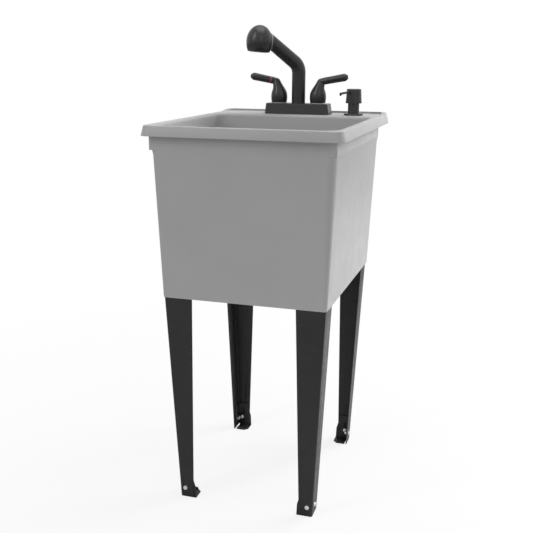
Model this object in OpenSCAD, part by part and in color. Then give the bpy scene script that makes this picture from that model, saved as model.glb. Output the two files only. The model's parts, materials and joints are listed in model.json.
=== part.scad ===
// Free-standing laundry sink: a drafted plastic tub on four pressed steel legs, with a
// pull-out faucet and a soap pump on its rear deck. Millimetres, +Z up, front at -Y.
// The origin is on the floor under the middle of the rim.

/* [Stand] */
// Height of the tub's lower edge above the floor
stand_h = 498; // [470:1:530]
// How far each leg leans in sideways from the tub to the floor
leg_lean_x = 24.2; // [15:0.1:30]
// How far each leg leans in front to back from the tub to the floor
leg_lean_y = 15; // [8:0.5:20]
// Thickness of the leg sheet
leg_t = 2; // [1.5:0.1:2.4]
// Outer bend radius of the leg's corner
leg_bend = 4; // [3.5:0.5:6]
// Width of the leg's front flange at the tub
leg_wide_top = 66; // [58:1:72]
// Width of the leg's front flange at the floor
leg_wide_foot = 31.4; // [30:0.1:40]
// Width of the leg's side flange at the tub
leg_deep_top = 61; // [56:1:68]
// Width of the leg's side flange at the floor
leg_deep_foot = 43.2; // [42:0.1:50]
// Length of leg inside its socket
leg_insert = 34; // [24:1:36]
// Distance from the tub's lower outer edge to the leg
leg_inset = 2.5; // [2.2:0.1:3]

/* [Feet] */
// Thickness of the foot bracket sheet
foot_t = 2; // [1.5:0.1:2.5]
// Height of the foot bracket's uprights
foot_h = 63; // [60:1:75]
// Width of the front upright at its top
foot_wide_top = 29; // [26:1:31]
// Width of the front upright at its flared foot
foot_wide_foot = 37.5; // [35:0.5:40]
// Height above the floor to which the flare reaches
foot_flare_h = 26; // [20:1:30]
// Width of the side upright
foot_deep = 34; // [31:1:38]
// Length of the plate that stands on the floor
foot_plate = 40; // [36:1:44]
// Length of the chamfer on the plate's inner corner
foot_chamfer = 9; // [4:0.5:12]
// Height of the plate's turned-up end
foot_tab_h = 7; // [4:0.5:10]
// How far a foot can be let down
foot_travel = 15; // [8:1:18]
// Distance of the front screw from the leg's corner
screw_x = 13; // [12.5:0.1:14]
// Distance of the side screw from the leg's corner
screw_y = 20; // [19:0.1:22]
// Height of the screws above the floor
screw_z = 24; // [22:0.5:28]
// Radius of a screw's thread
screw_r = 3; // [2.5:0.1:3.2]
// Radius of a screw's head
screw_head_r = 5.8; // [5:0.1:6.4]
// Height of a screw's head
screw_head_h = 3.4; // [2.5:0.1:4]
// Width of a nut across its flats
nut_af = 10; // [9:0.5:10]
// Thickness of a nut
nut_h = 5; // [4:0.5:5]

/* [Tub] */
// Height of the tub from its lower edge to the top of its rim
tub_h = 381; // [370:1:395]
// Width of the body at its lower edge
body_w = 375; // [365:1:380]
// Distance from the middle to the front of the body at its lower edge
body_front = 251; // [245:1:254]
// How far the body's back wall stands in from the rim's back edge
body_in = 75; // [70:1:80]
// Corner radius of the body at its lower edge
body_r = 7.5; // [7:0.5:10]
// How far each wall leans out between the lower edge and the band
body_draft = 15.5; // [12:0.5:17]
// Thickness of the tub's walls
wall = 7; // [5.5:0.5:8]
// Height of the plain band under the rim
band_h = 30; // [22:1:36]
// How far the band stands proud of the walls
band_step = 2; // [1:0.5:3]
// Corner radius of the band
band_r = 6; // [3:0.5:10]
// Height of the slope that leads into the band
band_slope_h = 12; // [6:1:18]
// Thickness of the skirt under the basin
skirt_t = 6; // [5:0.5:7]
// Thickness of the ribs under the basin
rib_t = 4; // [3:0.5:5]
// Depth of the ribs under the basin
rib_h = 24; // [16:1:32]
// Thickness of the wall on the inner side of a leg's socket
socket_t = 4; // [3:0.5:5]

/* [Rim] */
// Width of the rim over its lower edge
rim_w = 445; // [441:1:455]
// Depth of the rim over its lower edge, front to back
rim_d = 572; // [566:1:590]
// Height of the rim's outer lip
lip_h = 22; // [18:1:26]
// How far the lip leans in from its lower to its upper edge
lip_lean = 6; // [3:0.5:8]
// Corner radius of the rim at its lower edge
rim_r = 26; // [20:1:32]
// Radius of the rim's outer top edge
rim_round = 3; // [2:0.5:4]
// Thickness of the rim's top, its lip and the deck
rim_t = 5; // [4:0.5:6]
// Height of the raised edge along the back of the deck
curb_h = 4.5; // [3:0.5:8]
// Thickness of the raised edge at its foot
curb_t = 10; // [8:0.5:14]
// Corner radius inside the raised edge
curb_r = 20; // [12:1:26]
// Length over which the raised edge runs out along the sides
curb_run = 26; // [15:1:40]

/* [Basin] */
// Depth of the basin below the rim
basin_depth = 329; // [315:1:340]
// Depth of the deck behind the basin
deck_d = 141; // [136:1:150]
// Corner radius of the basin at the rim
basin_r = 30; // [24:1:40]
// Radius where the basin's walls meet its floor
basin_floor_r = 20; // [14:1:26]
// Radius of the basin's upper edge
basin_edge = 7; // [4:0.5:9]
// Fall of the basin's floor towards the drain
floor_fall = 3; // [1:0.5:4]
// Thickness of the ribs under the deck
deck_rib_t = 4; // [3:0.5:5]
// Depth of the ribs under the deck
deck_rib_h = 24; // [16:1:30]
// Distance of the ribs under the deck from the middle
deck_rib_x = 92; // [88:1:98]

/* [Drain] */
// Place of the drain, front to back
drain_y = -57; // [-70:1:-45]
// Radius of the drain's flange
drain_flange_r = 41; // [38:0.5:44]
// Thickness of the drain's flange
drain_flange_t = 2.5; // [2:0.1:3]
// Radius of the drain's threaded tube
drain_tube_r = 23.5; // [22:0.5:25]
// Radius of the drain's waterway
drain_bore_r = 19; // [17:0.5:20]
// Length of the drain's threaded tube
drain_tube_h = 42; // [36:1:48]
// Radius of the tailpiece
tail_r = 19.05; // [17:0.05:19.5]
// Wall of the tailpiece
tail_wall = 1.5; // [1:0.1:2]
// Length of the tailpiece
tail_len = 58; // [50:1:62]
// Width of the locknut across its flats
locknut_af = 62; // [58:1:66]
// Thickness of the locknut
locknut_h = 9; // [7:0.5:11]
// Height of the slip nut
slip_h = 20; // [16:1:22]
// Height of the stopper
stopper_h = 14; // [11:0.5:17]

/* [Faucet] */
// Distance from the faucet's axis to the rim's back edge
faucet_in = 89; // [84:1:96]
// Width of the base
base_w = 167; // [155:1:172]
// Depth of the base
base_d = 54; // [52:1:60]
// Height of the base
base_h = 25.5; // [24:0.5:27]
// Corner radius of the base
base_r = 8; // [7:0.5:12]
// How far the sides of the base lean in
base_lean = 3.5; // [2:0.5:4.5]
// Radius of the base's top edge
base_round = 2; // [1:0.5:2.5]
// Wall of the base
base_wall = 2.5; // [2:0.5:3]
// Thickness of the gasket under the base
pad_t = 1; // [0.5:0.1:2]
// Distance of each handle from the middle
handle_x = 50.8; // [49:0.1:52]
// Radius of a threaded shank
shank_r = 10.5; // [9:0.1:10.5]
// Length of a shank below the deck
shank_len = 55; // [48:1:65]
// Radius of a mounting nut
shank_nut_r = 19; // [17:0.5:21]
// Height of a mounting nut
shank_nut_h = 12; // [9:0.5:15]

/* [Handles] */
// Radius of the handle's bulb
bulb_r = 20.8; // [19.5:0.1:21.5]
// Height of the bulb's widest part above the handle's lower edge
bulb_z = 13; // [11:0.5:14]
// Radius of the handle's elbow
elbow_r = 9.3; // [8.5:0.1:10]
// How far the elbow stands out towards the lever
elbow_x = 7; // [4:0.5:9]
// Height of the elbow's middle above the handle's lower edge
elbow_z = 52; // [49:0.5:54]
// Radius of the lever at the elbow
lever_r = 8.7; // [8:0.1:9]
// How much thicker the lever is at its tip
lever_swell = 0.9; // [0:0.1:1.2]
// Distance from the handle's axis to the lever's tip
lever_reach = 76; // [65:1:90]
// Angle at which the lever rises
lever_rise = 10.5; // [5:0.5:14]
// Chamfer of the lever's tip
tip_chamfer = 4; // [2:0.5:5]
// Distance from the elbow to the coloured ring
ring_at = 12; // [9:0.5:20]
// Width of the coloured ring
ring_w = 4; // [2:0.5:6]
// Radius of the valve stem
stem_r = 5; // [4:0.1:5.5]
// Radius of the valve cartridge
cartridge_r = 11; // [10:0.5:11.5]
// Thickness of the glide ring under a handle
glide_t = 1.7; // [1.2:0.1:2]

/* [Spout] */
// Radius of the spout's tube
spout_r = 17.25; // [16:0.25:18]
// Wall of the spout's tube
spout_wall = 3.5; // [2:0.5:3.5]
// Radius of the spout's arm where it meets the head
arm_r = 16.5; // [15.5:0.5:17.5]
// Height of the bend's corner above the deck
bend_z = 118.6; // [105:0.1:130]
// Radius of the bend
bend_r = 33; // [25:1:36]
// Angle at which the arm rises
arm_rise = 38.6; // [34:0.1:44]
// Angle to which the spout is swung from straight ahead, to the left
spout_swing = 60; // [-80:1:80]
// Distance from the spout's axis to the middle of the head's face
head_x = 104.4; // [102:0.1:107]
// Height of the head's face above the deck
head_z = 152.5; // [150:0.5:155]
// Lean of the head back towards its arm
head_tilt = 4.5; // [2:0.5:6]
// Radius of the head's face
face_r = 27; // [25:0.5:29]
// Widest radius of the head
head_r = 32.4; // [31:0.1:33]
// Height of the head's widest part above its face
head_waist = 25; // [20:1:28]
// Height of the head
head_h = 64.6; // [58:0.1:66]
// Distance from the head's axis to the seam with the arm
seam_x = 28.5; // [27:0.5:30]
// Thickness of the collar at the seam
collar_t = 3; // [2:0.5:4]
// Radius of the hose
hose_r = 7; // [6:0.5:8]
// Length of hose that can be drawn out in a straight line
hose_travel = 55; // [30:5:60]

/* [Soap pump] */
// Distance from the pump's axis to the body's right side
soap_side = 43.5; // [38:0.5:46]
// Distance from the pump's axis to the rim's back edge
soap_in = 94; // [86:1:98]
// Radius of the flange
soap_flange_r = 24.5; // [22:0.5:27]
// Thickness of the flange
soap_flange_t = 4.8; // [4:0.1:5.5]
// Radius of the collar above the flange
collar_r = 14; // [13:0.5:14.5]
// Height of the collar's top above the deck
collar_z = 30; // [28:0.5:34]
// Radius of the cap's lower edge
cap_r = 20; // [19:0.5:22]
// How far the cap narrows to its top
cap_lean = 2.25; // [1:0.25:2.5]
// Height of the cap's top above the deck
cap_z = 64.5; // [63:0.5:68]
// Radius of the nozzle
nozzle_r = 2.75; // [2.25:0.25:3.25]
// Distance from the pump's axis to the nozzle's tip
nozzle_reach = 55; // [45:1:65]
// Angle to which the nozzle is turned from straight ahead, to the left
nozzle_turn = 25; // [-60:5:60]
// Length of the pump's stroke
pump_stroke = 18; // [12:1:18]
// Radius of the flange's threaded shank
soap_shank_r = 13.5; // [13:0.5:14.5]
// Length of the threaded shank below the deck
soap_shank_len = 48; // [44:1:56]
// Radius of the bottle
bottle_r = 25; // [22:1:28]
// Height of the bottle
bottle_h = 140; // [110:5:170]
// Wall of the bottle
bottle_wall = 1.5; // [1:0.1:2]

/* [Hidden] */
$fn = 64;

// Overrun of every cut past the face it opens
over = 1;
// Gap between pieces that move past each other
fit = 0.3;
// Radial play of a shaft in its bore
play = 0.05;
// Thickness of the slices that a blended shape is stretched between
slice = 0.01;
// Steps of the rounding along the basin's upper edge
edge_steps = 3;
// Facets of a ball or disc inside a blend
blend_fn = 32;

// Heights
rim_z = stand_h + tub_h;
lip_z = rim_z - lip_h;
band_z = lip_z - band_h;
floor_z = rim_z - basin_depth;
rim_back = rim_d / 2;
body_back = rim_back - body_in;
deck_edge = rim_back - deck_d;
faucet_y = rim_back - faucet_in;
soap_x = body_w / 2 - soap_side;
soap_y = rim_back - soap_in;
drain_z = floor_z - floor_fall;
under_z = drain_z - wall;
deck_under_z = rim_z - rim_t;
// Lean of the walls for each unit of height
draft = body_draft / (band_z - stand_h);
// Outer half width and front of the walls at a height, and the basin's back wall there
function half_w(z) = body_w / 2 + draft * (z - stand_h);
function front(z) = body_front + draft * (z - stand_h);
function basin_back(z) = deck_edge - draft * (rim_z - z);

// Length of a leg's corner edge between the floor and the tub's lower edge
leg_run = norm([leg_lean_x, leg_lean_y, stand_h]);
leg_roll = asin(leg_lean_y / leg_run);
leg_pitch = atan(leg_lean_x / stand_h);
leg_top = leg_run * (stand_h + leg_insert) / stand_h;
// Height of the legs' lower ends, which the foot plates carry clear of the floor
leg_clear = 1.5;
function leg_wide(z) = leg_wide_foot + (leg_wide_top - leg_wide_foot) * z / leg_run;
function leg_deep(z) = leg_deep_foot + (leg_deep_top - leg_deep_foot) * z / leg_run;

// Place of the foot's uprights inside the leg, and of the nuts inside the foot
foot_in = leg_t + fit;
nut_in = foot_in + foot_t + fit;
screw_hole_play = 0.2;
screw_hole_r = screw_r + screw_hole_play;
screw_slot_r = screw_r + fit;
screw_end = 1.5;
screw_edge = 1;

// Spout: the arm's foot on the bend and the length of arm up to the seam
bend_turn = 90 - arm_rise;
bend_tan = bend_r * tan(bend_turn / 2);
head_lift = head_h - head_waist;
arm_len = head_x / cos(arm_rise);

// Corner of the rounded profile: middle of an arc between a leaning side and a level top
function arc_x(r, lean, round, tilt) = r - lean + round * tan(tilt) - round / cos(tilt);

// Half section of a block whose side leans in by lean, with its top edge rounded
module leaning_section(r, h, lean, round) {
    tilt = atan(lean / h);
    cx = arc_x(r, lean, round, tilt);
    cz = h - round;
    polygon([
        [0, 0], [r, 0],
        [cx + round * cos(tilt), cz + round * sin(tilt)],
        [cx, cz], [cx, h], [0, h]
    ]);
    translate([cx, cz]) circle(round);
}

// Block with a rounded rectangle's outline, whose sides lean in and whose top edge is rounded
module leaning_block(w, d, r, h, lean, round) {
    straight_x = w - 2 * r;
    straight_y = d - 2 * r;
    translate([-straight_x / 2, -straight_y / 2, 0]) cube([straight_x, straight_y, h]);
    for (i = [0:3]) {
        along = i % 2 == 0 ? straight_y : straight_x;
        out = i % 2 == 0 ? straight_x / 2 : straight_y / 2;
        rotate(90 * i)
            translate([out, along / 2, 0])
                rotate([90, 0, 0])
                    linear_extrude(along) leaning_section(r, h, lean, round);
        rotate(90 * i)
            translate([out, along / 2, 0])
                rotate_extrude(angle = 90) leaning_section(r, h, lean, round);
    }
}

// Block whose walls lean out by lean on every side; its corner radius grows by the same amount
module drafted_block(w, front, back, r, h, lean) {
    side = w / 2 - r;
    for (s = [-1, 1], y = [r - front, back - r])
        translate([s * side, y, 0]) cylinder(h = h, r1 = r, r2 = r + lean);
    translate([0, back - r, 0])
        rotate([90, 0, 0])
            linear_extrude(front + back - 2 * r)
                polygon([[-w / 2, 0], [w / 2, 0], [w / 2 + lean, h], [-w / 2 - lean, h]]);
    translate([-side, 0, 0])
        rotate([90, 0, 90])
            linear_extrude(2 * side)
                polygon([[-front, 0], [back, 0], [back + lean, h], [-front - lean, h]]);
}

// Flat outline of a rectangle with round corners, given by its sides
module rounded_plate(w, front, back, r) {
    translate([-w / 2 + r, -front]) square([w - 2 * r, front + back]);
    translate([-w / 2, -front + r]) square([w, front + back - 2 * r]);
    for (s = [-1, 1], y = [r - front, back - r]) translate([s * (w / 2 - r), y]) circle(r);
}

module ring(outer, inner, h) {
    difference() {
        cylinder(h = h, r = outer);
        translate([0, 0, -over]) cylinder(h = h + 2 * over, r = inner);
    }
}

module hex_nut(af, inner, h) {
    difference() {
        cylinder(h = h, r = af / 2 / cos(30), $fn = 6);
        translate([0, 0, -over]) cylinder(h = h + 2 * over, r = inner);
    }
}

// Turns children to the left or right side: they are drawn for the right
module on_side(side) {
    if (side < 0) mirror([1, 0, 0]) children();
    else children();
}

// Turns children to the front or back: they are drawn for the front
module on_end(end) {
    if (end > 0) mirror([0, 1, 0]) children();
    else children();
}

// Places children at a leg's corner on the floor; they are drawn for the front right leg
module at_corner(side, end) {
    reach = end > 0 ? body_back : body_front;
    on_side(side)
        on_end(end)
            translate([
                body_w / 2 - leg_inset - leg_lean_x,
                leg_inset + leg_lean_y - reach,
                0
            ])
                children();
}

// Leans children along the leg's corner edge
module lean() {
    rotate([leg_roll, leg_pitch, 0]) children();
}

// The two tapering flanges of a leg, made larger by grow on every face
module leg_flanges(low, high, grow) {
    translate([0, leg_t + grow, 0])
        rotate([90, 0, 0])
            linear_extrude(leg_t + 2 * grow)
                polygon([
                    [grow, low], [grow, high],
                    [-leg_wide(high) - grow, high], [-leg_wide(low) - grow, low]
                ]);
    translate([-leg_t - grow, 0, 0])
        rotate([90, 0, 90])
            linear_extrude(leg_t + 2 * grow)
                polygon([
                    [-grow, low], [-grow, high],
                    [leg_deep(high) + grow, high], [leg_deep(low) + grow, low]
                ]);
}

// Sheet of a leg: its flanges and the bend between them, made larger by grow on every face
module leg_sheet(low, high, grow) {
    inner_r = leg_bend - leg_t - grow;
    outer_r = leg_bend + grow;
    difference() {
        union() {
            leg_flanges(low, high, grow);
            translate([-leg_bend, leg_t + grow, low])
                linear_extrude(high - low) difference() {
                    square([inner_r, inner_r]);
                    translate([0, inner_r]) circle(inner_r);
                }
        }
        outside_bend(outer_r, low, high);
    }
}

// The corner that a bend of outer radius r leaves empty, about the leg's bend line
module outside_bend(r, low, high) {
    translate([-leg_bend, leg_bend, low - over])
        linear_extrude(high - low + 2 * over) difference() {
            translate([0, -r - over]) square([r + over, r + over]);
            circle(r);
        }
}

// All that lies below a height
module below(z) {
    translate([-rim_w / 2, -rim_d / 2, z - stand_h]) cube([rim_w, rim_d, stand_h]);
}

// Places children at the screws of a leg, which point out of its flanges along +Z
module at_screws() {
    translate([-screw_x, 0, screw_z]) rotate([90, 0, 0]) children();
    translate([0, screw_y, screw_z]) rotate([0, 90, 0]) children();
}

module leg(side, end) {
    color("#2b2d30") difference() {
        at_corner(side, end) lean() difference() {
            leg_sheet(-leg_bend, leg_top, 0);
            at_screws()
                translate([0, 0, -leg_t - over])
                    cylinder(h = leg_t + 2 * over, r = screw_hole_r);
        }
        below(leg_clear);
    }
}

// The two uprights of a foot, cut by the slots that its screws clamp
module foot_uprights() {
    difference() {
        union() {
            translate([0, foot_in + foot_t, 0])
                rotate([90, 0, 0])
                    linear_extrude(foot_t)
                        polygon([
                            [-foot_in, -leg_bend], [-foot_in, foot_h],
                            [-foot_wide_top, foot_h], [-foot_wide_foot, foot_flare_h],
                            [-foot_wide_foot, -leg_bend]
                        ]);
            translate([-foot_in - foot_t, 0, 0])
                rotate([90, 0, 90])
                    linear_extrude(foot_t)
                        polygon([
                            [foot_in, screw_z / 2], [foot_in, foot_h],
                            [foot_deep - leg_bend, foot_h], [foot_deep, foot_h - leg_bend],
                            [foot_deep, screw_z / 2 + leg_bend],
                            [foot_deep - leg_bend, screw_z / 2]
                        ]);
        }
        foot_slots();
        outside_bend(leg_bend - foot_in, -leg_bend, foot_h);
    }
}

// Upright slots above the screws, as long as a foot's travel
module foot_slots() {
    translate([-screw_x, foot_in + foot_t + over, screw_z])
        rotate([90, 0, 0])
            linear_extrude(foot_t + 2 * over) slot_outline();
    translate([-foot_in - foot_t - over, screw_y, screw_z])
        rotate([90, 0, 90])
            linear_extrude(foot_t + 2 * over) slot_outline();
}

module slot_outline() {
    circle(screw_slot_r);
    translate([-screw_slot_r, 0]) square([2 * screw_slot_r, foot_travel]);
    translate([0, foot_travel]) circle(screw_slot_r);
}

// The plate that stands on the floor, with its inner corner chamfered and its end turned up
module foot_plate_bent() {
    inner = foot_in + 2 * foot_t;
    linear_extrude(foot_t)
        polygon([
            [-inner, foot_in], [-inner, foot_plate],
            [-foot_wide_foot + foot_chamfer, foot_plate],
            [-foot_wide_foot, foot_plate - foot_chamfer],
            [-foot_wide_foot, foot_in]
        ]);
    translate([0, foot_plate, 0])
        rotate([90, 0, 0])
            linear_extrude(foot_t)
                polygon([
                    [-inner, 0], [-inner, foot_tab_h / 2], [-inner - foot_t, foot_tab_h],
                    [-foot_wide_foot + foot_chamfer + foot_t, foot_tab_h],
                    [-foot_wide_foot + foot_chamfer, foot_tab_h / 2],
                    [-foot_wide_foot + foot_chamfer, 0]
                ]);
}

module foot(side, end) {
    color("#232427")
        difference() {
            at_corner(side, end) {
                lean() foot_uprights();
                foot_plate_bent();
            }
            below(0);
        }
}

module foot_screws() {
    color("#d9dadb")
        for (side = [-1, 1], end = [-1, 1])
            at_corner(side, end) lean() at_screws() {
                rotate_extrude()
                    leaning_section(screw_head_r, screw_head_h, screw_edge, screw_edge);
                translate([0, 0, -nut_in - nut_h - screw_end])
                    cylinder(h = nut_in + nut_h + screw_end + over, r = screw_r);
            }
}

module foot_nuts() {
    color("#c9cbcd")
        for (side = [-1, 1], end = [-1, 1])
            at_corner(side, end) lean() at_screws()
                translate([0, 0, -nut_in - nut_h]) hex_nut(nut_af, screw_r + play, nut_h);
}

// Outer form of the tub below its rim: drafted walls, slope and band, cut off flat at the back
module tub_body() {
    slope_z = band_z - band_slope_h;
    grown = draft * (slope_z - stand_h);
    band_w = 2 * (half_w(band_z) + band_step);
    band_front = front(band_z) + band_step;
    difference() {
        union() {
            translate([0, 0, stand_h])
                drafted_block(body_w, body_front, rim_d / 2, body_r, band_z - stand_h, body_draft);
            translate([0, 0, slope_z])
                drafted_block(2 * half_w(slope_z), front(slope_z), rim_d / 2,
                    body_r + grown, band_slope_h, draft * band_slope_h + band_step);
            translate([0, 0, band_z])
                linear_extrude(deck_under_z + over - band_z)
                    rounded_plate(band_w, band_front, rim_d / 2, band_r);
        }
        translate([-rim_w / 2, body_back, stand_h - over]) cube([rim_w, rim_d, tub_h]);
    }
}

// The rim: a plate with a leaning lip all round, open underneath
module rim() {
    hollow_h = lip_h - rim_t + over;
    hollow_lean = lip_lean * hollow_h / lip_h;
    translate([0, 0, lip_z]) difference() {
        leaning_block(rim_w, rim_d, rim_r, lip_h, lip_lean, rim_round);
        translate([0, 0, -over])
            leaning_block(rim_w - 2 * rim_t, rim_d - 2 * rim_t, rim_r - rim_t,
                hollow_h, hollow_lean, rim_round / 2);
    }
}

// The raised edge along the back of the deck, which runs out along the sides
module deck_curb() {
    full_h = lip_h + curb_h;
    inner_back = rim_d / 2 - lip_lean - curb_t;
    inner_w = rim_w - 2 * (lip_lean + curb_t);
    end_y = inner_back - curb_r;
    intersection() {
        translate([0, 0, lip_z])
            leaning_block(rim_w, rim_d, rim_r, full_h, lip_lean * full_h / lip_h, rim_round);
        translate([0, 0, deck_under_z]) linear_extrude(rim_t + curb_h) difference() {
            translate([-rim_w / 2, 0]) square([rim_w, rim_d]);
            rounded_plate(inner_w, rim_d / 2, inner_back, curb_r);
        }
        translate([-rim_w / 2, 0, deck_under_z])
            rotate([90, 0, 90])
                linear_extrude(rim_w)
                    polygon([
                        [end_y - curb_run, 0], [rim_d, 0], [rim_d, rim_t + curb_h],
                        [end_y, rim_t + curb_h], [end_y - curb_run, rim_t]
                    ]);
    }
}

// Four discs or balls at the basin's corners: grow widens the outline
module basin_corners(z, r) {
    x = half_w(z) - wall - r;
    for (s = [-1, 1], y = [r + wall - front(z), basin_back(z) - r])
        translate([s * x, y, z]) children();
}

// The hollow of the basin: drafted walls, rounded corners, a floor that falls to the drain
module basin_hollow() {
    edge_z = rim_z - basin_edge;
    ball_z = floor_z + basin_floor_r;
    hull() {
        basin_corners(ball_z, basin_floor_r) sphere(r = basin_floor_r, $fn = blend_fn);
        basin_corners(edge_z, basin_r)
            cylinder(h = slice, r = basin_r, $fn = blend_fn);
        translate([0, drain_y, drain_z]) cylinder(h = floor_fall, r = drain_flange_r + over);
    }
    for (i = [1:edge_steps]) {
        a = 90 * (i - 1) / edge_steps;
        b = 90 * i / edge_steps;
        top = i == edge_steps ? over : slice;
        hull() {
            basin_corners(edge_z, basin_r)
                translate([0, 0, basin_edge * sin(a)])
                    cylinder(h = slice, r = basin_r + basin_edge * (1 - cos(a)), $fn = blend_fn);
            basin_corners(edge_z, basin_r)
                translate([0, 0, basin_edge * sin(b)])
                    cylinder(h = top, r = basin_r + basin_edge * (1 - cos(b)), $fn = blend_fn);
        }
    }
}

// The open recess behind the basin, under the deck, between the two side walls
module rear_recess() {
    h = deck_under_z - floor_z;
    low_w = half_w(floor_z) - wall;
    high_w = half_w(deck_under_z) - wall;
    low_y = basin_back(floor_z) + wall;
    high_y = basin_back(deck_under_z) + wall;
    translate([0, 0, floor_z]) intersection() {
        translate([0, rim_d, 0])
            rotate([90, 0, 0])
                linear_extrude(rim_d)
                    polygon([[-low_w, 0], [low_w, 0], [high_w, h], [-high_w, h]]);
        translate([-rim_w / 2, 0, 0])
            rotate([90, 0, 90])
                linear_extrude(rim_w)
                    polygon([[low_y, 0], [body_back + over, 0], [body_back + over, h],
                        [high_y, h]]);
    }
}

// The hollow under the basin's floor, inside the skirt
module skirt_hollow() {
    x = body_w / 2 - skirt_t;
    translate([-x, skirt_t - body_front, stand_h - over])
        cube([2 * x, body_front + body_back - 2 * skirt_t, under_z - stand_h + over]);
}

// Walls on the inner side of a leg's socket, drawn for the front right leg
module socket_walls() {
    deep = leg_inset + leg_t + fit + socket_t;
    wide = leg_inset + leg_wide_top + fit + socket_t;
    long = leg_inset + leg_deep_top + fit + socket_t;
    h = under_z - stand_h + over;
    from = skirt_t - over;
    translate([-wide, from, stand_h]) cube([wide - from, deep - from, h]);
    translate([-deep, from, stand_h]) cube([deep - from, long - from, h]);
}

// Ribs under the basin, from a ring round the drain to the skirt
module floor_ribs() {
    ring_r = locknut_af / 2 / cos(30) + fit + rib_t;
    low = under_z - rib_h;
    x = body_w / 2 - skirt_t + over;
    translate([0, drain_y, low]) ring(ring_r + rib_t, ring_r, rib_h + over);
    for (s = [-1, 1])
        translate([s < 0 ? -x : ring_r, drain_y - rib_t / 2, low])
            cube([x - ring_r, rib_t, rib_h + over]);
    translate([-rib_t / 2, skirt_t - over - body_front, low])
        cube([rib_t, body_front + drain_y - ring_r - skirt_t + over, rib_h + over]);
    translate([-rib_t / 2, drain_y + ring_r, low])
        cube([rib_t, body_back - drain_y - ring_r - skirt_t + over, rib_h + over]);
}

// Gussets under the deck, from the basin's back wall to the rim's lip
module deck_ribs() {
    from = basin_back(deck_under_z) + wall - over;
    low_from = basin_back(deck_under_z - deck_rib_h) + wall - over;
    to = rim_d / 2 - lip_lean - rim_t;
    for (s = [-1, 1])
        translate([s * deck_rib_x - deck_rib_t / 2, 0, deck_under_z + over])
            rotate([90, 0, 90])
                linear_extrude(deck_rib_t)
                    polygon([
                        [low_from, -deck_rib_h - over], [from, 0], [to, 0],
                        [to, -deck_rib_h / 3], [from + wall, -deck_rib_h - over]
                    ]);
}

module tub() {
    color("#b9bbbd")
        difference() {
            union() {
                difference() {
                    union() {
                        tub_body();
                        rim();
                    }
                    basin_hollow();
                    rear_recess();
                    skirt_hollow();
                }
                deck_curb();
                floor_ribs();
                deck_ribs();
                for (side = [-1, 1], end = [-1, 1])
                    on_side(side)
                        on_end(end)
                            translate([body_w / 2, -(end > 0 ? body_back : body_front), 0])
                                socket_walls();
            }
            for (side = [-1, 1], end = [-1, 1])
                at_corner(side, end) lean() leg_sheet(stand_h - leg_bend, leg_top, fit);
            // drain, with a seat for its flange
            translate([0, drain_y, under_z - over])
                cylinder(h = wall + floor_fall, r = drain_tube_r + fit);
            translate([0, drain_y, drain_z - drain_flange_t])
                cylinder(h = drain_flange_t + over, r = drain_flange_r + fit);
            // three holes for the faucet and one for the soap pump
            at_faucet() {
                for (x = [-handle_x, handle_x])
                    translate([x, 0, -rim_t - over])
                        cylinder(h = rim_t + 2 * over, r = shank_r + hole_play);
                translate([0, 0, -rim_t - over]) cylinder(h = rim_t + 2 * over, r = socket_r);
            }
            at_soap()
                translate([0, 0, -rim_t - over])
                    cylinder(h = rim_t + 2 * over, r = soap_shank_r + fit);
        }
}

// Drain: heights are above the seat that its flange lies in
seat_z = drain_z - drain_flange_t;
flange_edge = 1;
gasket_t = 3;
gasket_r = 30;
washer_t = 2;
tail_flange_t = 2.5;
slip_wall = 5;
slip_rib = 4;
cone_h = 10;
cone_wall = 1.5;
cone_r = drain_tube_r - cone_wall;
cone_z = drain_flange_t - cone_h;
bar_w = 3;
// Height of the stopper's lower face above the cone's lower edge, and the width of its knob
stopper_in = 1;
knob_r = 6;
knob_neck = 3.5;
tube_end_z = seat_z - drain_tube_h;
tail_flange_r = drain_tube_r - cone_wall;
// Above this height on the tailpiece, under the nut and its washer, the wall is thicker
tail_step_z = tail_len - tail_flange_t - 2 * washer_t;
tail_step = 0.5;
function cone_at(z) = drain_bore_r + (cone_r - drain_bore_r) * z / cone_h;

module at_drain(z) {
    translate([0, drain_y, z]) children();
}

module drain_flange() {
    color("#c8cacc") at_drain(seat_z) {
        difference() {
            union() {
                cylinder(h = drain_flange_t, r1 = drain_flange_r, r2 = drain_flange_r - flange_edge);
                translate([0, 0, -drain_tube_h]) cylinder(h = drain_tube_h, r = drain_tube_r);
            }
            translate([0, 0, -drain_tube_h - over])
                cylinder(h = drain_tube_h + cone_z + 2 * over, r = drain_bore_r);
            translate([0, 0, cone_z])
                cylinder(h = cone_h + slice, r1 = drain_bore_r, r2 = cone_r);
        }
        // cross that keeps large things out of the pipe
        for (a = [0, 90])
            rotate(a)
                translate([-drain_bore_r - cone_wall, -bar_w / 2, cone_z - 2 * bar_w])
                    cube([2 * (drain_bore_r + cone_wall), bar_w, bar_w]);
    }
}

module drain_gasket() {
    color("#303235") at_drain(under_z - gasket_t) ring(gasket_r, drain_tube_r + play, gasket_t);
}

module drain_locknut() {
    color("#d5d7d8")
        at_drain(under_z - gasket_t - locknut_h)
            hex_nut(locknut_af, drain_tube_r + play, locknut_h);
}

module tailpiece_washer() {
    color("#303235") at_drain(tube_end_z - washer_t) ring(tail_flange_r, tail_r + tail_step + play, washer_t);
}

module drain_tailpiece() {
    color("#e2e3e4") at_drain(tube_end_z - washer_t - tail_len) difference() {
        union() {
            cylinder(h = tail_len, r = tail_r);
            translate([0, 0, tail_step_z])
                cylinder(h = tail_len - tail_step_z, r = tail_r + tail_step);
            translate([0, 0, tail_len - tail_flange_t])
                cylinder(h = tail_flange_t, r = tail_flange_r);
        }
        translate([0, 0, -over]) cylinder(h = tail_len + 2 * over, r = tail_r - tail_wall);
    }
}

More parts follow.
